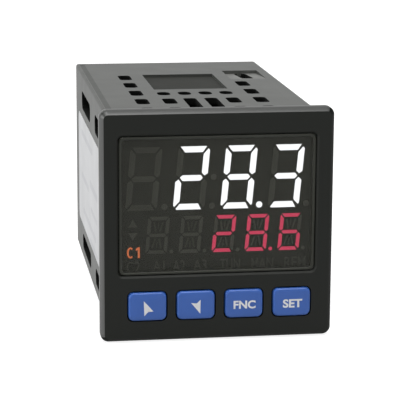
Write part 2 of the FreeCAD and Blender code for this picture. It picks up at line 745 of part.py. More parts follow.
def make_label():
    """Bare film on the left wall."""
    top = CASE_HALF - LABEL_TOP_MARGIN
    bottom = LABEL_BOTTOM_MARGIN - CASE_HALF
    face = rounded_face(LABEL_LENGTH, top - bottom, LABEL_CORNER)
    y = LABEL_FRONT + LABEL_LENGTH / 2
    return along_x(face, -CASE_HALF - LABEL_THICKNESS, -CASE_HALF, y=y, z=(top + bottom) / 2)


# Boards and components ---------------------------------------------------------------------

def make_display_board():
    """Board behind the reflector that also carries the switches."""
    size = 2 * (SKIRT_INNER - REFLECTOR_CLEARANCE)
    return centred_box(size, size, DISPLAY_BOARD_FRONT, DISPLAY_BOARD_REAR)


def make_side_board(side):
    """Upright board held by the rails."""
    x0, x1 = sorted((side * SIDE_BOARD_INNER, side * SIDE_BOARD_OUTER))
    edge = INNER_HALF - BOARD_GAP
    return box(x0, x1, SIDE_BOARD_FRONT, SIDE_BOARD_REAR, -edge, edge)


def make_rear_board():
    """Board across the case that carries the terminal blocks."""
    width = 2 * (INNER_HALF - BOARD_GAP)
    height = 2 * (RAIL_TIP - RAIL_CLEARANCE)
    return centred_box(width, height, REAR_BOARD_FRONT, REAR_BOARD_REAR)


def make_header(side, y0, y1):
    """Connector between a side board's inner face and a board across the case."""
    x0, x1 = sorted((side * (SIDE_BOARD_INNER - HEADER_WIDTH), side * SIDE_BOARD_INNER))
    return box(x0, x1, y0, y1, -HEADER_HEIGHT / 2, HEADER_HEIGHT / 2)


def make_transformer():
    """Core with a window on each side of its middle leg, and the coil wound through it."""
    x0 = -SIDE_BOARD_INNER
    x1 = x0 + CORE_WIDTH
    y0 = SIDE_BOARD_FRONT + HEADER_OVERLAP + COMPONENT_MARGIN
    y1 = y0 + CORE_LENGTH
    half = CORE_HEIGHT / 2
    core = box(x0, x1, y0, y1, -half, half)
    window_half = half - CORE_LEG
    for z0, z1 in ((-window_half, -CORE_LEG / 2), (CORE_LEG / 2, window_half)):
        core = core.cut(box(x0, x1, y0 + CORE_LEG, y1 - CORE_LEG, z0, z1))
    coil = box(
        x0, x1 + COIL_OVERHANG, y0 + CORE_LEG, y1 - CORE_LEG, -window_half, window_half
    )
    return core, coil.cut(core)


def make_capacitor(level):
    """Can with a softened end, standing on the power board."""
    place = V(-SIDE_BOARD_INNER, REAR_BOARD_FRONT - CAPACITOR_OFFSET, level)
    can = Part.makeCylinder(CAPACITOR_R, CAPACITOR_HEIGHT, place, V(1, 0, 0))
    tip = CAPACITOR_HEIGHT - SIDE_BOARD_INNER
    return can.makeChamfer(CAPACITOR_EDGE, edges_at(can, lambda point: abs(point.x - tip) < NEAR))


def make_relay(index):
    """Sealed relay on the control board with softened edges."""
    y1 = REAR_BOARD_FRONT - RELAY_OFFSET - index * (RELAY_LENGTH + RELAY_SPACING)
    half = RELAY_HEIGHT / 2
    body = box(
        SIDE_BOARD_INNER - RELAY_DEPTH, SIDE_BOARD_INNER, y1 - RELAY_LENGTH, y1, -half, half
    )
    tip = SIDE_BOARD_INNER - RELAY_DEPTH
    front = edges_at(body, lambda point: abs(point.x - tip) < NEAR)
    return body.makeChamfer(RELAY_EDGE, front)


def make_chip():
    """Flat microcontroller package on the control board."""
    y0 = SIDE_BOARD_FRONT + HEADER_OVERLAP + COMPONENT_MARGIN
    half = CHIP_SIZE / 2
    x1 = SIDE_BOARD_INNER
    return box(x1 - CHIP_THICKNESS, x1, y0, y0 + CHIP_SIZE, -half, half)


def make_opto(index):
    """Optocoupler below the microcontroller."""
    first = SIDE_BOARD_FRONT + HEADER_OVERLAP + COMPONENT_MARGIN
    y0 = first + index * (OPTO_SIZE + OPTO_SPACING)
    z0 = -CHIP_SIZE / 2 - COMPONENT_MARGIN - OPTO_SIZE
    x1 = SIDE_BOARD_INNER
    return box(x1 - OPTO_THICKNESS, x1, y0, y0 + OPTO_SIZE, z0, z0 + OPTO_SIZE)


# Terminals ---------------------------------------------------------------------------------

def terminal_x(index):
    """Centre of a terminal block."""
    return (index - (TERMINAL_COUNT - 1) / 2) * TERMINAL_PITCH


def pole_levels():
    """Heights of a block's poles."""
    return [(index - (POLES - 1) / 2) * POLE_PITCH for index in range(POLES)]


def outward(index):
    """Side of a block that faces the case's nearer side wall."""
    return -1 if index < TERMINAL_COUNT / 2 else 1


def make_terminal_block(index):
    """Block with a wire entry and a screw well at each pole."""
    x = terminal_x(index)
    block = centred_box(TERMINAL_WIDTH, TERMINAL_HEIGHT, REAR_BOARD_REAR, REAR_BLOCK_Y, x=x)
    rear = edges_at(block, lambda point: abs(point.y - REAR_BLOCK_Y) < NEAR)
    block = block.makeChamfer(TERMINAL_EDGE, rear)
    entry_x = x + outward(index) * ENTRY_OFFSET
    well_x = x - outward(index) * SCREW_WELL_OFFSET
    entry_y = REAR_BLOCK_Y - ENTRY_DEPTH
    well_y = REAR_BLOCK_Y - SCREW_WELL_DEPTH
    cuts = []
    for z in pole_levels():
        cuts.append(centred_box(ENTRY_SIZE, ENTRY_SIZE, entry_y, REAR_BLOCK_Y, x=entry_x, z=z))
        size = SCREW_WELL_SIZE
        cuts.append(centred_box(size, size, well_y, REAR_BLOCK_Y, x=well_x, z=z))
    return block.cut(cuts)


def make_contacts(index):
    """Clamp plates at the bottom of one block's wire entries."""
    entry_x = terminal_x(index) + outward(index) * ENTRY_OFFSET
    floor = REAR_BLOCK_Y - ENTRY_DEPTH
    size = ENTRY_SIZE - 2 * CONTACT_CLEARANCE
    return [
        centred_box(size, size, floor, floor + CONTACT_THICKNESS, x=entry_x, z=z)
        for z in pole_levels()
    ]


# Build -------------------------------------------------------------------------------------

os.makedirs("parts", exist_ok=True)

save("bezel", make_bezel())
save("window_lens", make_lens())
save("panel_gasket", make_gasket())
save("case", make_case())
save("side_label", make_label())

left_edge = -REFLECTOR_WIDTH / 2
pv_places = digit_places(PV_COUNT, PV_PITCH, left_edge, PV_SHIFT)
sv_places = digit_places(SV_COUNT, SV_PITCH, left_edge + SV_INDENT, SV_SHIFT)
pv_lit, pv_unlit = digit_row(
    pv_places, PV_Z, (PV_WIDTH, PV_HEIGHT, PV_STROKE), ("", "abdeg", "abcdefg.", "abcdg")
)
sv_lit, sv_unlit = digit_row(
    sv_places, SV_Z, (SV_WIDTH, SV_HEIGHT, SV_STROKE), ("", "", "abdeg", "abcdefg.", "acdefg")
)
arrows = make_arrows()
save("display_reflector", make_reflector(pv_lit + pv_unlit + sv_lit + sv_unlit + arrows))
save_group("upper_segments_lit", pv_lit)
save_group("upper_segments_unlit", pv_unlit)
save_group("lower_segments_lit", sv_lit)
save_group("lower_segments_unlit", sv_unlit)
save_group("arrow_segments", arrows)
save("display_board", make_display_board())

for key_name, key_x in KEY_PLACES.items():
    save("key_" + key_name, make_key(key_x))
    save("switch_body_" + key_name, make_switch(key_x))
    save("switch_stem_" + key_name, make_stem(key_x))

for board_side, board_name in ((-1, "power"), (1, "control")):
    save(board_name + "_board", make_side_board(board_side))
    front_end = SIDE_BOARD_FRONT + HEADER_OVERLAP
    rear_start = SIDE_BOARD_REAR - HEADER_OVERLAP
    save(board_name + "_front_header", make_header(board_side, DISPLAY_BOARD_REAR, front_end))
    save(board_name + "_rear_header", make_header(board_side, rear_start, REAR_BOARD_FRONT))
save("rear_board", make_rear_board())

transformer_core, transformer_coil = make_transformer()
save("transformer_core", transformer_core)
save("transformer_coil", transformer_coil)
save("input_capacitor", make_capacitor(CAPACITOR_LEVEL))
save("output_capacitor", make_capacitor(-CAPACITOR_LEVEL))
save("relay_1", make_relay(0))
save("relay_2", make_relay(1))
save("microcontroller", make_chip())
save("optocoupler_1", make_opto(0))
save("optocoupler_2", make_opto(1))

terminal_contacts = []
for terminal in range(TERMINAL_COUNT):
    save("terminal_block_" + str(terminal + 1), make_terminal_block(terminal))
    terminal_contacts += make_contacts(terminal)
save_group("terminal_contacts", terminal_contacts)
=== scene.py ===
import json
import math

import bmesh
import bpy
from mathutils import Matrix, Vector

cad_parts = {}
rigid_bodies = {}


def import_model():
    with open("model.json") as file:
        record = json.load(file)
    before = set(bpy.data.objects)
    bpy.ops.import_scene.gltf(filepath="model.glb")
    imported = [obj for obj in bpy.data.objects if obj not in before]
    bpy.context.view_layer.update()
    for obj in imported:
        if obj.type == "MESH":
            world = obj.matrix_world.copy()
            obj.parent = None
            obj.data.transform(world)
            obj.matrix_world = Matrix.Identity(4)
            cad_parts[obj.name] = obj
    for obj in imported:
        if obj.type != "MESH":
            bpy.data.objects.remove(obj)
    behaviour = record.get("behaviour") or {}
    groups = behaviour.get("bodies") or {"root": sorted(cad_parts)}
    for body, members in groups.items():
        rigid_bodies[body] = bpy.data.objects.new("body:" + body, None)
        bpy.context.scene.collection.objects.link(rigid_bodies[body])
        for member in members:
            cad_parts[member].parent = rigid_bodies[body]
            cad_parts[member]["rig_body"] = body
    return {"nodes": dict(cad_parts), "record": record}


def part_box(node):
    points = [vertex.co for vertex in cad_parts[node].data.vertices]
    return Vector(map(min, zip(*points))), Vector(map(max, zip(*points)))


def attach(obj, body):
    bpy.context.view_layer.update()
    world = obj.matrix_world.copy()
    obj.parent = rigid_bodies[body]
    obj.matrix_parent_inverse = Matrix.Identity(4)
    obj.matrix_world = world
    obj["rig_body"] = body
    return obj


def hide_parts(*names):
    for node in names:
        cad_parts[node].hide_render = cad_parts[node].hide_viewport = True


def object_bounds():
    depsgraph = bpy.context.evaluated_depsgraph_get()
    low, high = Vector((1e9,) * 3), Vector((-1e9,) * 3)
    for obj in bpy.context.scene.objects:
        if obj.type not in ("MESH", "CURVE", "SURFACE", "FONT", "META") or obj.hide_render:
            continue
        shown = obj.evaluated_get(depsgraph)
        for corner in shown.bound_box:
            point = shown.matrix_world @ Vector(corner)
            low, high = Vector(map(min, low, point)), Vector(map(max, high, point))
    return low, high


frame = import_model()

# A panel-mount temperature controller: vented case, bezel with a sunk window, a lit segment
# display behind a smoked pane, four keys that press in, and clamp screws at the rear.
# Lengths are in millimetres until they meet MM. +Y goes into the panel and +Z is up.

MM = 0.001
NODES = frame["nodes"]
SLOTS = {part["node"]: part["material_slot"] for part in frame["record"]["subparts"]}
cad_low, cad_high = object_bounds()


def srgb(red, green, blue):
    """Linear colour of one written from 0 to 255."""
    linear = []
    for value in (red / 255, green / 255, blue / 255):
        linear.append(value / 12.92 if value <= 0.04045 else ((value + 0.055) / 1.055) ** 2.4)
    return (*linear, 1.0)


def shade(rgba, factor):
    """Colour made lighter or darker."""
    return (*[min(1.0, c * factor) for c in rgba[:3]], rgba[3])


# Materials ---------------------------------------------------------------------------------

# Noise cells per metre
CLOUD_CELLS = 90
GLOSS_CELLS = 140
PANE_CELLS = 160
FINE_CELLS = 700

# Between these lie most of a noise's values, and between the wider pair nearly all of them
NOISE_LOW, NOISE_HIGH = 0.35, 0.65
WIDE_LOW, WIDE_HIGH = 0.3, 0.7

# How far roughness strays to each side of a material's own
PLASTIC_STRAY = 0.01, 0.015
METAL_STRAY = 0.03, 0.05

WHITE = (1, 1, 1, 1)


def surface(name, roughness, specular=0.5):
    """New material with one Principled shader."""
    material = bpy.data.materials.new(name)
    material.use_nodes = True
    tree = material.node_tree
    shader = tree.nodes["Principled BSDF"]
    shader.inputs["Roughness"].default_value = roughness
    shader.inputs["Specular IOR Level"].default_value = specular
    return material, tree, shader


def noise(tree, cells, detail=2.0):
    """Noise over the object's own coordinates."""
    where = tree.nodes.new("ShaderNodeTexCoord")
    texture = tree.nodes.new("ShaderNodeTexNoise")
    texture.inputs["Scale"].default_value = cells
    texture.inputs["Detail"].default_value = detail
    tree.links.new(where.outputs["Object"], texture.inputs["Vector"])
    return texture.outputs["Fac"]


def along(tree, coordinates, axis, start, end):
    """0 to 1 along one axis of a kind of coordinates."""
    where = tree.nodes.new("ShaderNodeTexCoord")
    parts = tree.nodes.new("ShaderNodeSeparateXYZ")
    share = tree.nodes.new("ShaderNodeMapRange")
    share.inputs["From Min"].default_value = start
    share.inputs["From Max"].default_value = end
    tree.links.new(where.outputs[coordinates], parts.inputs["Vector"])
    tree.links.new(parts.outputs[axis], share.inputs["Value"])
    return share.outputs["Result"]


def ramp(tree, value, stops):
    """Colours that follow a value."""
    node = tree.nodes.new("ShaderNodeValToRGB")
    elements = node.color_ramp.elements
    while len(elements) < len(stops):
        elements.new(0.5)
    for element, (position, rgba) in zip(elements, stops):
        element.position = position
        element.color = rgba
    tree.links.new(value, node.inputs["Fac"])
    return node.outputs["Color"]


def spread(tree, value, low, high):
    """Noise stretched to a range."""
    node = tree.nodes.new("ShaderNodeMapRange")
    node.inputs["From Min"].default_value = NOISE_LOW
    node.inputs["From Max"].default_value = NOISE_HIGH
    node.inputs["To Min"].default_value = low
    node.inputs["To Max"].default_value = high
    tree.links.new(value, node.inputs["Value"])
    return node.outputs["Result"]


def bump(tree, shader, value, depth):
    """Relief of a depth in millimetres."""
    node = tree.nodes.new("ShaderNodeBump")
    node.inputs["Distance"].default_value = depth * MM
    tree.links.new(value, node.inputs["Height"])
    tree.links.new(node.outputs["Normal"], shader.inputs["Normal"])


def plastic(name, rgba, roughness, grain=0.35, depth=0.006, specular=0.5, mottle=0.06):
    """Moulded plastic: fine grain in millimetres, and faint clouds in colour and gloss."""
    material, tree, shader = surface(name, roughness, specular)
    tones = [(NOISE_LOW, shade(rgba, 1 - mottle)), (NOISE_HIGH, shade(rgba, 1 + mottle))]
    colour = ramp(tree, noise(tree, CLOUD_CELLS), tones)
    less, more = PLASTIC_STRAY
    gloss = spread(tree, noise(tree, GLOSS_CELLS), roughness - less, roughness + more)
    tree.links.new(colour, shader.inputs["Base Color"])
    tree.links.new(gloss, shader.inputs["Roughness"])
    bump(tree, shader, noise(tree, 1 / (grain * MM), detail=3.0), depth)
    return material


def lit(name, rgba, strength, glow):
    """Light pipe or legend that shines."""
    material, tree, shader = surface(name, roughness=0.4, specular=0.3)
    shader.inputs["Base Color"].default_value = rgba
    shader.inputs["Emission Strength"].default_value = strength
    faintest = shade(glow, 0.94)
    tones = [(WIDE_LOW, faintest), (WIDE_HIGH, glow)]
    tree.links.new(ramp(tree, noise(tree, FINE_CELLS), tones), shader.inputs["Emission Color"])
    return material


def metal(name, rgba, roughness):
    """Plated or brushed metal with fine streaks."""
    material, tree, shader = surface(name, roughness)
    shader.inputs["Metallic"].default_value = 1.0
    streaks = noise(tree, FINE_CELLS, detail=4.0)
    darkest = shade(rgba, 0.93)
    colour = ramp(tree, streaks, [(WIDE_LOW, darkest), (WIDE_HIGH, rgba)])
    less, more = METAL_STRAY
    gloss = spread(tree, streaks, roughness - less, roughness + more)
    tree.links.new(colour, shader.inputs["Base Color"])
    tree.links.new(gloss, shader.inputs["Roughness"])
    bump(tree, shader, streaks, 0.002)
    return material


def display_black():
    """Matt reflector with painted light, a little lighter towards its top."""
    material, tree, shader = surface("display_black", roughness=0.7, specular=0.0)
    darkest_z, lightest_z = -11 * MM, 18 * MM
    height = along(tree, "Object", "Z", darkest_z, lightest_z)
    # Painted light: lighter from darkest_z up to lightest_z
    tones = [(0.0, srgb(52, 53, 45)), (0.5, srgb(64, 65, 56)), (1.0, srgb(74, 75, 66))]
    tree.links.new(ramp(tree, height, tones), shader.inputs["Base Color"])
    return material


def smoked_pane():
    """Dark clear acrylic, faintly uneven in gloss."""
    smoothest, roughest = 0.06, 0.12
    material, tree, shader = surface("smoked_pane", smoothest, specular=0.2)
    shader.inputs["Base Color"].default_value = srgb(64, 65, 57)
    shader.inputs["Alpha"].default_value = 0.5
    gloss = spread(tree, noise(tree, PANE_CELLS), smoothest, roughest)
    tree.links.new(gloss, shader.inputs["Roughness"])
    return material


# Finishes that several materials share
SMOOTH = {"depth": 0.002, "mottle": 0.03}
SPARKED = {"grain": 0.3, "depth": 0.003, "mottle": 0.03}
SATIN = {"depth": 0.001, "specular": 0.2}

CASE = plastic("case_plastic", srgb(51, 53, 50), 0.5, grain=0.4, specular=0.36, mottle=0.03)
# Painted reflection: pocket floors darker than the case plastic, for the dark reflection of
# their polish
CASE_POCKET_REFLECTION = plastic("case_pocket_painted_reflection", srgb(31, 32, 29), 0.6, specular=0.04, **SMOOTH)
# Painted shade: the groove's sloping walls darker than the case plastic
CASE_GROOVE_SHADE = plastic("case_groove_painted_shade", srgb(40, 42, 39), 0.55, specular=0.3, **SMOOTH)
# Painted shade: insides of the case dark, where little light reaches
CASE_INSIDE_SHADE = plastic("case_inside_painted_shade", srgb(16, 17, 16), 0.7, specular=0.05, **SMOOTH)
# Painted light: ramps and their step paler than the case plastic, for the light they catch
CASE_RAMP_LIGHT = plastic("case_ramp_painted_light", srgb(76, 77, 74), 0.55, specular=0.4, **SMOOTH)
BEZEL = plastic("bezel_plastic", srgb(14, 17, 12), 0.34, specular=0.2, **SPARKED)
# Painted highlight and shade: a glossier copy of the bezel plastic for the rim's top and left, a
# darker matt one for the rest
BEZEL_RIM_HIGHLIGHT = plastic("bezel_rim_painted_highlight", srgb(14, 17, 12), 0.34, specular=0.58, **SPARKED)
BEZEL_RIM_SHADE = plastic("bezel_rim_painted_shade", srgb(13, 15, 12), 0.6, specular=0.03, **SPARKED)
# Painted highlight: the window mouth's walls and bevel lighter than the bezel plastic
BEZEL_MOUTH_HIGHLIGHT = plastic("bezel_mouth_painted_highlight", srgb(27, 29, 25), 0.5, grain=0.3, depth=0.002, specular=0.2)
# Painted light: an opaque rim coloured like the lit window, laid over the shade at the pane's
# edges
PANE_RIM_LIGHT = plastic("pane_rim_painted_light", srgb(52, 54, 47), 0.3, grain=0.3, mottle=0.03, **SATIN)
PANE = smoked_pane()
DISPLAY = display_black()
WHITE_LIT = lit("segment_white_lit", WHITE, 4.2, (0.96, 0.97, 1.0, 1))
RED_LIT = lit("segment_red_lit", (0.7, 0.05, 0.1, 1), 2.2, (0.84, 0.055, 0.145, 1))
ORANGE_LIT = lit("legend_orange_lit", (0.6, 0.15, 0.05, 1), 2.3, (0.82, 0.2, 0.065, 1))
UNLIT = plastic("segment_unlit", srgb(168, 169, 154), 0.5, **SATIN)
UNLIT_FINE = plastic("stroke_unlit", srgb(132, 133, 118), 0.5, **SATIN)
UNLIT_LEGEND = plastic("legend_unlit", srgb(132, 132, 122), 0.5, **SATIN)
KEY_BLUE = plastic("key_blue", srgb(55, 102, 188), 0.36, grain=0.25, depth=0.003, mottle=0.04)
PRINT = plastic("legend_print", srgb(252, 252, 255), 0.5, depth=0.001, mottle=0.02)
RUBBER = plastic("gasket_rubber", srgb(26, 26, 26), 0.7, grain=0.2, depth=0.01, specular=0.3)
LABEL = plastic("label_film", srgb(161, 162, 164), 0.4, grain=0.8, depth=0.002, mottle=0.08)
LABEL_GREY = plastic("label_field", srgb(146, 147, 151), 0.4, grain=0.8, depth=0.002)
BOARD = plastic("board_green", srgb(24, 66, 44), 0.35, grain=0.6, depth=0.004)
HEADER = plastic("header_black", srgb(30, 30, 30), 0.5)
SWITCH = plastic("switch_black", srgb(34, 34, 34), 0.45)
STEM = plastic("stem_white", srgb(216, 214, 206), 0.45)
CORE = metal("core_steel", srgb(96, 96, 100), 0.5)
COIL = plastic("coil_tape", srgb(206, 160, 44), 0.4, grain=0.5)
SLEEVE = plastic("capacitor_sleeve", srgb(28, 34, 52), 0.3)
RELAY = plastic("relay_plastic", srgb(44, 44, 46), 0.4)
CHIP = plastic("chip_epoxy", srgb(30, 30, 31), 0.55, grain=0.15)
TERMINAL = plastic("terminal_plastic", srgb(34, 37, 36), 0.45)
CONTACT = metal("contact_metal", srgb(190, 188, 180), 0.3)
SCREW = metal("screw_steel", srgb(205, 204, 198), 0.26)

CARRIED = {
    "case_plastic": CASE,
    "bezel_plastic": BEZEL,
    "smoked_pane": PANE,
    "display_black": DISPLAY,
    "segment_white_lit": WHITE_LIT,
    "segment_red_lit": RED_LIT,
    "segment_unlit": UNLIT,
    "key_blue": KEY_BLUE,
    "gasket_rubber": RUBBER,
    "label_film": LABEL,
    "board_green": BOARD,
    "header_black": HEADER,
    "switch_black": SWITCH,
    "stem_white": STEM,
    "core_steel": CORE,
    "coil_tape": COIL,
    "capacitor_sleeve": SLEEVE,
    "relay_plastic": RELAY,
    "chip_epoxy": CHIP,
    "terminal_plastic": TERMINAL,
    "contact_metal": CONTACT,
}
for node_name, node in NODES.items():
    node.data.materials.clear()
    node.data.materials.append(CARRIED[SLOTS[node_name]])


# Outlines, as lists of (x, z) --------------------------------------------------------------

CORNER_STEPS = 8


def moved(points, x, z):
    """Outline moved to a place."""
    return [(x + px, z + pz) for px, pz in points]


def arc(wide, tall, start, sweep, steps):
    """Part of an ellipse, from its half-axes and angles in degrees."""
    points = []
    for step in range(steps + 1):
        angle = math.radians(start + sweep * step / steps)
        points.append((wide * math.cos(angle), tall * math.sin(angle)))
    return points


def rounded(width, height, radius, x, z):
    """Rounded rectangle."""
    points = []
    for side, level, start in ((1, 1, 0), (-1, 1, 90), (-1, -1, 180), (1, -1, 270)):
        corner_x = x + side * (width / 2 - radius)
        corner_z = z + level * (height / 2 - radius)
        points += moved(arc(radius, radius, start, 90, CORNER_STEPS), corner_x, corner_z)
    return points


def stroke(x0, z0, x1, z1, width):
    """Straight stroke."""
    run = Vector((x1 - x0, z1 - z0)).normalized()
    side = Vector((-run.y, run.x)) * width / 2
    return [
        (x0 + side.x, z0 + side.y),
        (x0 - side.x, z0 - side.y),
        (x1 - side.x, z1 - side.y),
        (x1 + side.x, z1 + side.y),
    ]


# Mesh helpers ------------------------------------------------------------------------------

WELD = 0.001
FLAT_ANGLE, EDGE_ANGLE = 0.4, 35  # degrees


def face_of(node_name):
    """Middle x and z, width, height and front of a node's box."""
    low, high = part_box(node_name)
    middle, size = (low + high) / 2 / MM, (high - low) / MM
    return middle.x, middle.z, size.x, size.z, low.y / MM


def place(name, mesh, body, slot, *materials):
    """Object that shows a mesh and rides on a body."""
    piece = bpy.data.objects.new(name, mesh)
    bpy.context.scene.collection.objects.link(piece)
    for material in materials:
        mesh.materials.append(material)
    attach(piece, body)
    return piece


def mesh_of(shape, name):
    """Mesh made of a bmesh, which is used up."""
    mesh = bpy.data.meshes.new(name)
    shape.to_mesh(mesh)
    shape.free()
    return mesh


def closed_mesh(shape, name):
    """Mesh with every face turned outwards."""
    bmesh.ops.recalc_face_normals(shape, faces=shape.faces)
    return mesh_of(shape, name)


def smooth(mesh):
    """Shading that runs on over the edges."""
    for polygon in mesh.polygons:
        polygon.use_smooth = True


def soften(piece, width, segments=3):
    """Rounded edges with flat faces kept flat."""
    smooth(piece.data)
    bevel = piece.modifiers.new("edges", "BEVEL")
    bevel.width = width * MM
    bevel.segments = segments
    bevel.limit_method = "ANGLE"
    bevel.angle_limit = math.radians(EDGE_ANGLE)
    bevel.miter_outer = "MITER_ARC"
    weighted = piece.modifiers.new("normals", "WEIGHTED_NORMAL")
    weighted.keep_sharp = False


def welded(node_name):
    """Copy of a CAD node's shape, with its flat faces whole."""
    shape = bmesh.new()
    shape.from_mesh(NODES[node_name].data)
    bmesh.ops.remove_doubles(shape, verts=shape.verts, dist=WELD * MM)
    bmesh.ops.dissolve_limit(
        shape, angle_limit=math.radians(FLAT_ANGLE), verts=shape.verts, edges=shape.edges
    )
    return shape


def stand_in(node_name, name, mesh, *materials):
    """Piece that stands for a CAD node, on its body."""
    piece = place(name, mesh, NODES[node_name]["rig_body"], SLOTS[node_name], *materials)
    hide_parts(node_name)
    return piece


def refined(node_name, width, *materials):
    """Piece with rounded edges that stands for a CAD node."""
    mesh = mesh_of(welded(node_name), node_name + "_refined")
    piece = stand_in(node_name, node_name + "_body", mesh, *materials)
    soften(piece, width)
    return piece


def ring(shape, outline, y):
    """Loop of vertices on an outline."""
    return [shape.verts.new((x * MM, y * MM, z * MM)) for x, z in outline]


def skin(shape, rings):
    """Bands of faces from each ring to the next."""
    count = len(rings[0])
    for outer, inner in zip(rings, rings[1:]):
        for i in range(count):
            j = (i + 1) % count
            shape.faces.new((outer[i], outer[j], inner[j], inner[i]))


def prism(shape, outline, front, back):
    """Solid along Y from an outline."""
    ends = ring(shape, outline, back), ring(shape, outline, front)
    skin(shape, ends)
    shape.faces.new(ends[1])
    shape.faces.new(list(reversed(ends[0])))


def solid(name, outlines, front, back):
    """Mesh of prisms along Y."""
    shape = bmesh.new()
    for outline in outlines:
        prism(shape, outline, front, back)
    return closed_mesh(shape, name)


def rounded_edge(fillet, steps):
    """Pairs of inset and depth over a rounded edge, from its side to its front."""
    angles = [math.radians(90 * step / steps) for step in range(steps + 1)]
    return [(fillet * (1 - math.cos(a)), fillet * (1 - math.sin(a))) for a in angles]


def lettering(name, text, centre, size, weight, front, back, body, slot, material):
    """Text fitted to a width and height, standing on a face that looks along -Y."""
    curve = bpy.data.curves.new(name, "FONT")
    curve.body = text
    curve.offset = weight
    curve.extrude = 0.5
    curve.resolution_u = 6
    writer = bpy.data.objects.new(name + "_writer", curve)
    bpy.context.scene.collection.objects.link(writer)
    graph = bpy.context.evaluated_depsgraph_get()
    mesh = bpy.data.meshes.new_from_object(writer.evaluated_get(graph))
    bpy.data.objects.remove(writer)
    xs = [vertex.co.x for vertex in mesh.vertices]
    ys = [vertex.co.y for vertex in mesh.vertices]
    x_middle, y_middle = (min(xs) + max(xs)) / 2, (min(ys) + max(ys)) / 2
    x_fit, y_fit = size[0] / (max(xs) - min(xs)), size[1] / (max(ys) - min(ys))
    for vertex in mesh.vertices:
        across, up, out = vertex.co
        vertex.co = (
            (centre[0] + (across - x_middle) * x_fit) * MM,
            (front if out > 0 else back) * MM,
            (centre[1] + (up - y_middle) * y_fit) * MM,
        )
    mesh.name = name
    mesh.materials.clear()
    return place(name, mesh, body, slot, material)


# Case --------------------------------------------------------------------------------------

# Depths are from the case's outer faces
SKIN_DEPTH = 0.6
POCKET_DEPTHS = 0.4, 0.65
POCKET_HALF = 9
REAR_RIM = 2
RAMP_DEPTH = 0.85
RAMP_REAR = 63.3
RAMP_SIDE = 11
GROOVE_REACH = 3
NEAR = 0.1

# Parts of a face's normal that tell which way it looks
FLAT, LEVEL = 0.99, 0.9995
UPWARD, GROOVE_TILTS = 0.9, (0.1, 0.3)


def case_finish(case):
    """Painted reflection on pocket floors, painted shade on the insides and on a groove along
    the top left, and painted light on ramps.
    """
    pocket_reflection_slot, inside_shade_slot, ramp_light_slot, groove_shade_slot = 1, 2, 3, 4
    half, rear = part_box("case")[1].z / MM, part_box("case")[1].y / MM
    for face in case.data.polygons:
        x, y, z = face.center / MM
        normal = face.normal
        depth = half - abs(z)
        # Painted shade on the faces inside the case
        if half - max(abs(x), abs(z)) > SKIN_DEPTH and y < rear - REAR_RIM:
            face.material_index = inside_shade_slot
        flat = abs(normal.z) > FLAT
        # Painted reflection: pocket floors get the darker colour
        if flat and POCKET_DEPTHS[0] < depth < POCKET_DEPTHS[1] and abs(x) < POCKET_HALF:
            face.material_index = pocket_reflection_slot
        # Painted light on the ramp floors and their step
        ramp = flat and abs(normal.z) < LEVEL
        step = abs(normal.y) > FLAT and abs(x) > RAMP_SIDE and abs(y - RAMP_REAR) < NEAR
        if depth < RAMP_DEPTH and (ramp or step):
            face.material_index = ramp_light_slot
        # Painted shade on the groove's tilted walls
        tilted = normal.z > UPWARD and GROOVE_TILTS[0] < abs(normal.x) < GROOVE_TILTS[1]
        if tilted and x < GROOVE_REACH - half:
            face.material_index = groove_shade_slot


case_finish(refined("case", 0.18, CASE, CASE_POCKET_REFLECTION, CASE_INSIDE_SHADE, CASE_RAMP_LIGHT, CASE_GROOVE_SHADE))


# Bezel, window and label -------------------------------------------------------------------

RIM_WIDTH = 1.2
MOUTH_MARGIN = 0.6

# Parts of a face's normal: of the front, the sides with painted highlight and the sides with
# painted shade
FRONT_TILT, HIGHLIGHT_TILT, SHADE_TILT = 0.95, 0.6, 0.3


def bezel_finish(bezel):
    """Window mouth painted lighter and duller as a highlight; rim glossier on top and at the
    left as painted highlight, darker and matt elsewhere as painted shade.
    """
    mouth_highlight_slot, highlight_slot, shade_slot = 1, 2, 3
    pane_low, pane_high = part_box("window_lens")
    margin = MOUTH_MARGIN * MM
    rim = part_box("bezel")[1].x - RIM_WIDTH * MM
    for face in bezel.data.polygons:
        centre, normal = face.center, face.normal
        in_mouth = (
            pane_low.x - margin < centre.x < pane_high.x + margin
            and pane_low.z - margin < centre.z < pane_high.z + margin
            and centre.y < pane_high.y
        )
        # Painted highlight on the window mouth
        if in_mouth and normal.y > -FRONT_TILT:
            face.material_index = mouth_highlight_slot
        on_rim = max(abs(centre.x), abs(centre.z)) > rim
        # Painted highlight on the rim's top and left, painted shade at its bottom and right
        if on_rim and (normal.z > HIGHLIGHT_TILT or normal.x < -HIGHLIGHT_TILT):
            face.material_index = highlight_slot
        if on_rim and (normal.z < -SHADE_TILT or normal.x > SHADE_TILT):
            face.material_index = shade_slot


bezel_finish(refined("bezel", 0.16, BEZEL, BEZEL_MOUTH_HIGHLIGHT, BEZEL_RIM_HIGHLIGHT, BEZEL_RIM_SHADE))
refined("window_lens", 0.15, PANE)


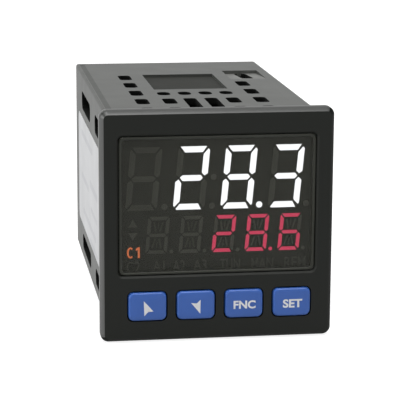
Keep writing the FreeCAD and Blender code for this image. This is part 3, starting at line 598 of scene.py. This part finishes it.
def pane_rim_painted_light():
    """Opaque border of the pane with a rounded edge, coloured like the lit window: painted light
    over the shade at the pane's edges.
    """
    fillet, border, corner, smallest_corner = 0.25, 0.55, 1.25, 0.3
    thickness, proud = 0.6, 0.08
    inner_fall, inner_step = 0.1, 0.02
    x, z, width, height, front = face_of("window_lens")
    profile = [(0.0, thickness)] + rounded_edge(fillet, steps=4) + [(border, 0.0)]
    profile += [(border + inner_step, inner_fall), (border + inner_step, thickness)]
    shape = bmesh.new()
    rings = []
    for inset, back in profile:
        radius = max(corner - inset, smallest_corner)
        outline = rounded(width - 2 * inset, height - 2 * inset, radius, x, z)
        rings.append(ring(shape, outline, front - proud + back))
    skin(shape, rings + rings[:1])
    mesh = closed_mesh(shape, "pane_rim_painted_light")
    smooth(mesh)
    place("pane_rim_painted_light", mesh, "housing", "smoked_pane", PANE_RIM_LIGHT)


pane_rim_painted_light()
refined("side_label", 0.02, LABEL)
refined("panel_gasket", 0.1, RUBBER)

# Start and end from the label's front, then top and bottom from its top
LABEL_FIELDS = (
    (32.0, 60.0, 3.1, 4.5),
    (20.0, 38.0, 11.0, 12.6),
    (42.0, 60.0, 13.3, 14.7),
    (22.0, 36.0, 16.8, 17.9),
    (24.0, 56.0, 21.2, 22.5),
    (20.0, 38.0, 24.4, 25.6),
)


def label_fields():
    """Faint grey areas where a label has its print, with nothing written in them."""
    proud, sunk = 0.012, 0.01
    low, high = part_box("side_label")
    x, front, top = low.x / MM, low.y / MM, high.z / MM
    shape = bmesh.new()
    for start, end, upper, lower in LABEL_FIELDS:
        outline = [
            (x - proud, top - lower),
            (x + sunk, top - lower),
            (x + sunk, top - upper),
            (x - proud, top - upper),
        ]
        prism(shape, outline, front + start, front + end)
    mesh = closed_mesh(shape, "label_fields")
    place("label_fields", mesh, "housing", "label_film", LABEL_GREY)


label_fields()


# Rear screws -------------------------------------------------------------------------------

SCREW_RADIUS = 1.62
SCREW_SLOT = 0.48
HEAD_HEIGHT, HALF_OVERLAP, HALF_HEIGHT = 0.55, 0.05, 0.5
WELL_DEPTH = 2.4
BLOCKS, POLES = 4, 6
POLE_PITCH = 5.08
SCREW_OFFSET = 2.1
FIRST_TURN, TURN_STEP = 20, 47  # degrees
ARC_STEPS = 12


def turned(points, turn):
    """Outline turned about its middle by an angle in radians."""
    cosine, sine = math.cos(turn), math.sin(turn)
    return [(px * cosine - pz * sine, px * sine + pz * cosine) for px, pz in points]


def screws():
    """Slotted clamp screws at the bottom of the terminal wells, each turned its own way."""
    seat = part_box("terminal_block_1")[1].y / MM - WELL_DEPTH
    disc = arc(SCREW_RADIUS, SCREW_RADIUS, 0, 360, 2 * ARC_STEPS)[:-1]
    start = math.degrees(math.asin(SCREW_SLOT / 2 / SCREW_RADIUS))
    half = arc(SCREW_RADIUS, SCREW_RADIUS, start, 180 - 2 * start, ARC_STEPS)
    bases, halves = [], []
    for block in range(BLOCKS):
        inward = 1 if block < BLOCKS / 2 else -1
        x = face_of("terminal_block_" + str(block + 1))[0] + inward * SCREW_OFFSET
        for pole in range(POLES):
            z = (pole - (POLES - 1) / 2) * POLE_PITCH
            turn = math.radians(FIRST_TURN + TURN_STEP * (block * POLES + pole) % 180)
            bases.append(moved(disc, x, z))
            halves.append(moved(turned(half, turn), x, z))
            halves.append(moved(turned(half, turn + math.pi), x, z))
    halves_front = seat + HEAD_HEIGHT - HALF_OVERLAP
    heads = solid("terminal_screw_heads", bases, seat, seat + HEAD_HEIGHT)
    slots = solid("terminal_screw_slots", halves, halves_front, halves_front + HALF_HEIGHT)
    place("terminal_screw_heads", heads, "housing", "contact_metal", SCREW)
    soften(place("terminal_screw_slots", slots, "housing", "contact_metal", SCREW), 0.1, 2)


screws()


# Display -----------------------------------------------------------------------------------

LEAN = math.tan(math.radians(5.2))
DOT_SHAPE = 1.5  # a dot is no longer than this many times its width


def islands(shape):
    """Groups of vertices that edges join."""
    waiting = set(shape.verts)
    for first in shape.verts:
        if first not in waiting:
            continue
        waiting.discard(first)
        island, edge = [], [first]
        while edge:
            vertex = edge.pop()
            island.append(vertex)
            for link in vertex.link_edges:
                other = link.other_vert(vertex)
                if other in waiting:
                    waiting.discard(other)
                    edge.append(other)
        yield island


def parted_segments(node_name, gap, swell, material):
    """Segments drawn in at their ends and swollen across, so that the gaps stay clear."""
    shape = welded(node_name)
    for island in islands(shape):
        centre = sum((vertex.co for vertex in island), Vector()) / len(island)
        upright = []
        for vertex in island:
            up = vertex.co.z - centre.z
            upright.append((vertex, vertex.co.x - centre.x - up * LEAN, up))
        wide = max(abs(across) for vertex, across, up in upright)
        tall = max(abs(up) for vertex, across, up in upright)
        if max(wide, tall) < DOT_SHAPE * min(wide, tall):
            continue
        share = 1 - gap * MM / max(wide, tall)
        x_share, z_share = (share, swell) if wide > tall else (swell, share)
        for vertex, across, up in upright:
            vertex.co.x = centre.x + across * x_share + up * z_share * LEAN
            vertex.co.z = centre.z + up * z_share
    stand_in(node_name, node_name + "_body", mesh_of(shape, node_name + "_parted"), material)


parted_segments("upper_segments_lit", gap=0.24, swell=1.06, material=WHITE_LIT)
parted_segments("lower_segments_lit", gap=0.12, swell=1.0, material=RED_LIT)

display_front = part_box("upper_segments_lit")[0].y / MM
DARK_PROUD, LEGEND_PROUD, LIT_PROUD = 0.02, 0.015, 0.03
STROKE_SUNK, LEGEND_SUNK = 0.02, 0.01
LOWER_DIGITS = 5
DARK_DIGITS = 2  # left of the lit ones
DIGIT_REACH = 2.5413  # from a lower digit's left end to its middle
STROKE_TOP, UPRIGHT_FOOT, SLANTED_FOOT = 2.7, 1.4, 0.7
SLANTED_TOP_X, SLANTED_FOOT_X = 0.92, 0.4
SLANTED_WIDTH, UPRIGHT_WIDTH = 0.34, 0.22


def inner_strokes():
    """Two slanted strokes and an upright one in each half of each lower digit."""
    dark_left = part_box("lower_segments_unlit")[0].x / MM
    lit_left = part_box("lower_segments_lit")[0].x / MM
    pitch = (lit_left - dark_left) / DARK_DIGITS
    middle_z = face_of("lower_segments_lit")[1]
    outlines = []
    for digit in range(LOWER_DIGITS):
        x = dark_left + DIGIT_REACH + pitch * digit
        for half in (1, -1):
            top = half * STROKE_TOP
            strokes = [stroke(0, top, 0, half * UPRIGHT_FOOT, UPRIGHT_WIDTH)]
            for side in (1, -1):
                foot_x, foot_z = side * SLANTED_FOOT_X, half * SLANTED_FOOT
                strokes.append(stroke(side * SLANTED_TOP_X, top, foot_x, foot_z, SLANTED_WIDTH))
            for points in strokes:
                leaning = [(px + pz * LEAN, pz) for px, pz in points]
                outlines.append(moved(leaning, x, middle_z))
    front, back = display_front - DARK_PROUD, display_front + STROKE_SUNK
    mesh = solid("inner_strokes", outlines, front, back)
    place("inner_strokes", mesh, "housing", "segment_unlit", UNLIT_FINE)


inner_strokes()


def colon_dot():
    """Dark dot of a colon in the row of upper digits."""
    size, corner, x, z = 1.3, 0.6, -0.61, 9.79
    outline = rounded(size, size, corner, x, z)
    mesh = solid("colon_dot", [outline], display_front - DARK_PROUD, display_front)
    place("colon_dot", mesh, "housing", "segment_unlit", UNLIT)


colon_dot()

LEGEND_Z = -8.6
LEGEND_HEIGHT = 2.4
LEGEND_WEIGHT, WORD_WEIGHT = 0.01, 0.035
LEGENDS = (  # word, middle and width
    ("C2", -17.1, 2.7),
    ("A1", -11.9, 2.5),
    ("A2", -7.7, 2.6),
    ("A3", -3.35, 2.8),
    ("TUN", 2.9, 4.2),
    ("MAN", 9.65, 4.6),
    ("REM", 16.5, 4.5),
)
for word, x, width in LEGENDS:
    lettering(
        "legend_" + word, word, (x, LEGEND_Z), (width, LEGEND_HEIGHT), LEGEND_WEIGHT,
        display_front - LEGEND_PROUD, display_front + LEGEND_SUNK,
        "housing", "segment_unlit", UNLIT_LEGEND,
    )


def lit_legend():
    """Lit output sign: a round C and a flagged 1."""
    x, z = -17.0, -5.6
    letter_x, figure_x = -0.68, 0.98
    opening, steps = 48, 16
    sweep = 360 - 2 * opening
    letter = arc(0.72, 1.15, opening, sweep, steps) + arc(0.34, 0.83, -opening, -sweep, steps)
    figure = [
        (0.26, -1.13), (0.26, 1.13), (-0.08, 1.13), (-0.56, 0.8),
        (-0.56, 0.4), (-0.14, 0.62), (-0.14, -1.13),
    ]
    outlines = [moved(letter, x + letter_x, z), moved(figure, x + figure_x, z)]
    front, back = display_front - LIT_PROUD, display_front + LEGEND_SUNK
    mesh = solid("legend_C1", outlines, front, back)
    place("legend_C1", mesh, "housing", "segment_red_lit", ORANGE_LIT)


lit_legend()


# Keys --------------------------------------------------------------------------------------

LUG_REACH = 0.61  # past the cap's side
KEY_CORNER = 1.2
CORNER_SHRINK = 0.6  # for each millimetre of inset
CROWN_CORNER = 0.6
KEY_FILLET = 0.45
KEY_CROWN = 0.05
CAP_DEPTH = 0.95
CUT_DEPTH = 0.7
CROWN_RINGS = ((0.9, 0.35), (0.72, 0.7), (0.4, 0.95))  # share of the size, share of the rise
PRINT_SUNK, PRINT_PROUD = 0.05, 0.015


def key_front(shape, x, z, width, height, front):
    """Cap with a rounded rim and a slightly crowned front."""
    rim = front + KEY_CROWN
    rings = []
    for inset, back in [(0.0, CAP_DEPTH - KEY_CROWN)] + rounded_edge(KEY_FILLET, steps=6):
        radius = KEY_CORNER - inset * CORNER_SHRINK
        outline = rounded(width - 2 * inset, height - 2 * inset, radius, x, z)
        rings.append(ring(shape, outline, rim + back))
    for share, rise in CROWN_RINGS:
        flat_width, flat_height = width - 2 * KEY_FILLET, height - 2 * KEY_FILLET
        outline = rounded(flat_width * share, flat_height * share, CROWN_CORNER * share, x, z)
        rings.append(ring(shape, outline, rim - KEY_CROWN * rise))
    skin(shape, rings)
    shape.faces.new(rings[-1])
    shape.faces.new(list(reversed(rings[0])))


def key_cap(key):
    """Crowned cap on the lugs and post of the CAD key."""
    node_name = "key_" + key
    x, z, lug_width, height, front = face_of(node_name)
    shape = welded(node_name)
    cut = bmesh.ops.bisect_plane(
        shape,
        geom=list(shape.verts) + list(shape.edges) + list(shape.faces),
        plane_co=(0, (front + CUT_DEPTH) * MM, 0),
        plane_no=(0, -1, 0),
        clear_outer=True,
    )
    rim = [item for item in cut["geom_cut"] if isinstance(item, bmesh.types.BMEdge)]
    bmesh.ops.edgenet_fill(shape, edges=rim)
    key_front(shape, x, z, lug_width - 2 * LUG_REACH, height, front)
    mesh = closed_mesh(shape, node_name + "_cap")
    smooth(mesh)
    stand_in(node_name, node_name + "_cap", mesh, KEY_BLUE)


KEY_WORDS = {  # word, offset from the key's middle, and size
    "function": ("FNC", (0.1, -0.18), (4.6, 1.75)),
    "set": ("SET", (0.16, -0.26), (4.05, 1.82)),
}
KEY_DARTS = {
    "up": [(-0.8, 1.28), (-0.68, -1.86), (0.13, -1.04), (1.2, -0.98)],
    "down": [(0.93, 1.16), (0.13, 0.42), (-1.02, 0.52), (0.88, -1.78)],
}


def key_print(key):
    """Raised white word or arrowhead."""
    body = NODES["key_" + key]["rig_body"]
    x, z, _, _, front = face_of("key_" + key)
    proud, sunk = front - PRINT_PROUD, front + PRINT_SUNK
    if key in KEY_WORDS:
        word, offset, size = KEY_WORDS[key]
        centre = (x + offset[0], z + offset[1])
        name = "key_word_" + key
        lettering(name, word, centre, size, WORD_WEIGHT, proud, sunk, body, "key_blue", PRINT)
    else:
        name = "key_dart_" + key
        mesh = solid(name, [moved(KEY_DARTS[key], x, z)], proud, sunk)
        place(name, mesh, body, "key_blue", PRINT)


for key in ("up", "down", "function", "set"):
    key_cap(key)
    key_print(key)


# Stage, in metres --------------------------------------------------------------------------

BACKGROUND_RAYS = ("Is Camera Ray", "Is Glossy Ray", "Is Transmission Ray")
FLOOR_HALF = 8.0
FLOOR_GAP = 0.0001
FLOOR_GREY = (0.32, 0.32, 0.32, 1)
FLOOR_GLOW = 0.84
ROOM_DARK = (0.05, 0.05, 0.05, 1)
LAMP_SIZE = 0.5
LAMPS = (  # name, place, target and brightness
    ("softbox_top", (-0.05, 0.0, 0.62), (0, 0.03, 0), 4.7),
    ("softbox_left", (-0.62, 0.0, 0.12), (0, 0.03, 0), 3.8),
    ("softbox_front", (0.2, -0.62, 0.8), (0, 0, 0), 4.2),
)


def sees_background(tree):
    """1 for the rays that see the white background, else 0."""
    path = tree.nodes.new("ShaderNodeLightPath")
    value = path.outputs[BACKGROUND_RAYS[0]]
    for kind in BACKGROUND_RAYS[1:]:
        larger = tree.nodes.new("ShaderNodeMath")
        larger.operation = "MAXIMUM"
        tree.links.new(value, larger.inputs[0])
        tree.links.new(path.outputs[kind], larger.inputs[1])
        value = larger.outputs[0]
    return value


def floor():
    """Large pale floor that keeps the object's shadow."""
    half, z = FLOOR_HALF, cad_low.z - FLOOR_GAP
    mesh = bpy.data.meshes.new("floor")
    corners = [(-half, -half, z), (half, -half, z), (half, half, z), (-half, half, z)]
    mesh.from_pydata(corners, [], [(0, 1, 2, 3)])
    piece = bpy.data.objects.new("floor", mesh)
    bpy.context.scene.collection.objects.link(piece)
    material, tree, shader = surface("floor_white", roughness=0.9, specular=0.0)
    shader.inputs["Base Color"].default_value = FLOOR_GREY
    shader.inputs["Emission Color"].default_value = WHITE
    glow = tree.nodes.new("ShaderNodeMath")
    glow.operation = "MULTIPLY"
    glow.inputs[1].default_value = FLOOR_GLOW
    tree.links.new(sees_background(tree), glow.inputs[0])
    tree.links.new(glow.outputs[0], shader.inputs["Emission Strength"])
    mesh.materials.append(material)


def softbox(name, location, target, brightness):
    """Square area lamp aimed at a point."""
    lamp = bpy.data.lights.new(name, "AREA")
    lamp.shape = "SQUARE"
    lamp.size = LAMP_SIZE
    lamp.energy = brightness * math.pi * LAMP_SIZE * LAMP_SIZE
    aim = Vector(target) - Vector(location)
    piece = bpy.data.objects.new(name, lamp)
    piece.location = location
    piece.rotation_mode = "QUATERNION"
    piece.rotation_quaternion = aim.to_track_quat("-Z", "Y")
    bpy.context.scene.collection.objects.link(piece)


def sky():
    """Room that looks white, and sheds more light from behind the object than from before it."""
    world = bpy.data.worlds.new("studio")
    bpy.context.scene.world = world
    world.use_nodes = True
    tree = world.node_tree
    back = tree.nodes["Background"]
    share = along(tree, "Generated", "Y", -0.5, 0.5)
    light = ramp(tree, share, [(0.0, ROOM_DARK), (1.0, WHITE)])
    mix = tree.nodes.new("ShaderNodeMix")
    mix.data_type = "RGBA"
    tree.links.new(sees_background(tree), mix.inputs["Factor"])
    tree.links.new(light, mix.inputs["A"])
    mix.inputs["B"].default_value = WHITE
    tree.links.new(mix.outputs["Result"], back.inputs["Color"])
    back.inputs["Strength"].default_value = 1.0


def camera():
    """Long lens in front of the object, a little to its left and above it."""
    lens = bpy.data.cameras.new("camera")
    lens.lens = 159.93
    lens.sensor_width = 36.0
    lens.clip_start = 0.01
    lens.clip_end = 20.0
    right = Vector((0.98924, -0.14624, 0.00534))
    down = Vector((-0.02581, -0.21026, -0.9773))
    forward = Vector((0.14404, 0.96665, -0.21177))
    turn = Matrix((right, -down, -forward)).transposed()
    location = Vector((-55.51, -351.53, 81.65)) * MM
    piece = bpy.data.objects.new("camera", lens)
    piece.matrix_world = Matrix.Translation(location) @ turn.to_4x4()
    bpy.context.scene.collection.objects.link(piece)
    bpy.context.scene.camera = piece


floor()
for lamp in LAMPS:
    softbox(*lamp)
sky()
camera()
bpy.context.scene.view_settings.view_transform = "Standard"
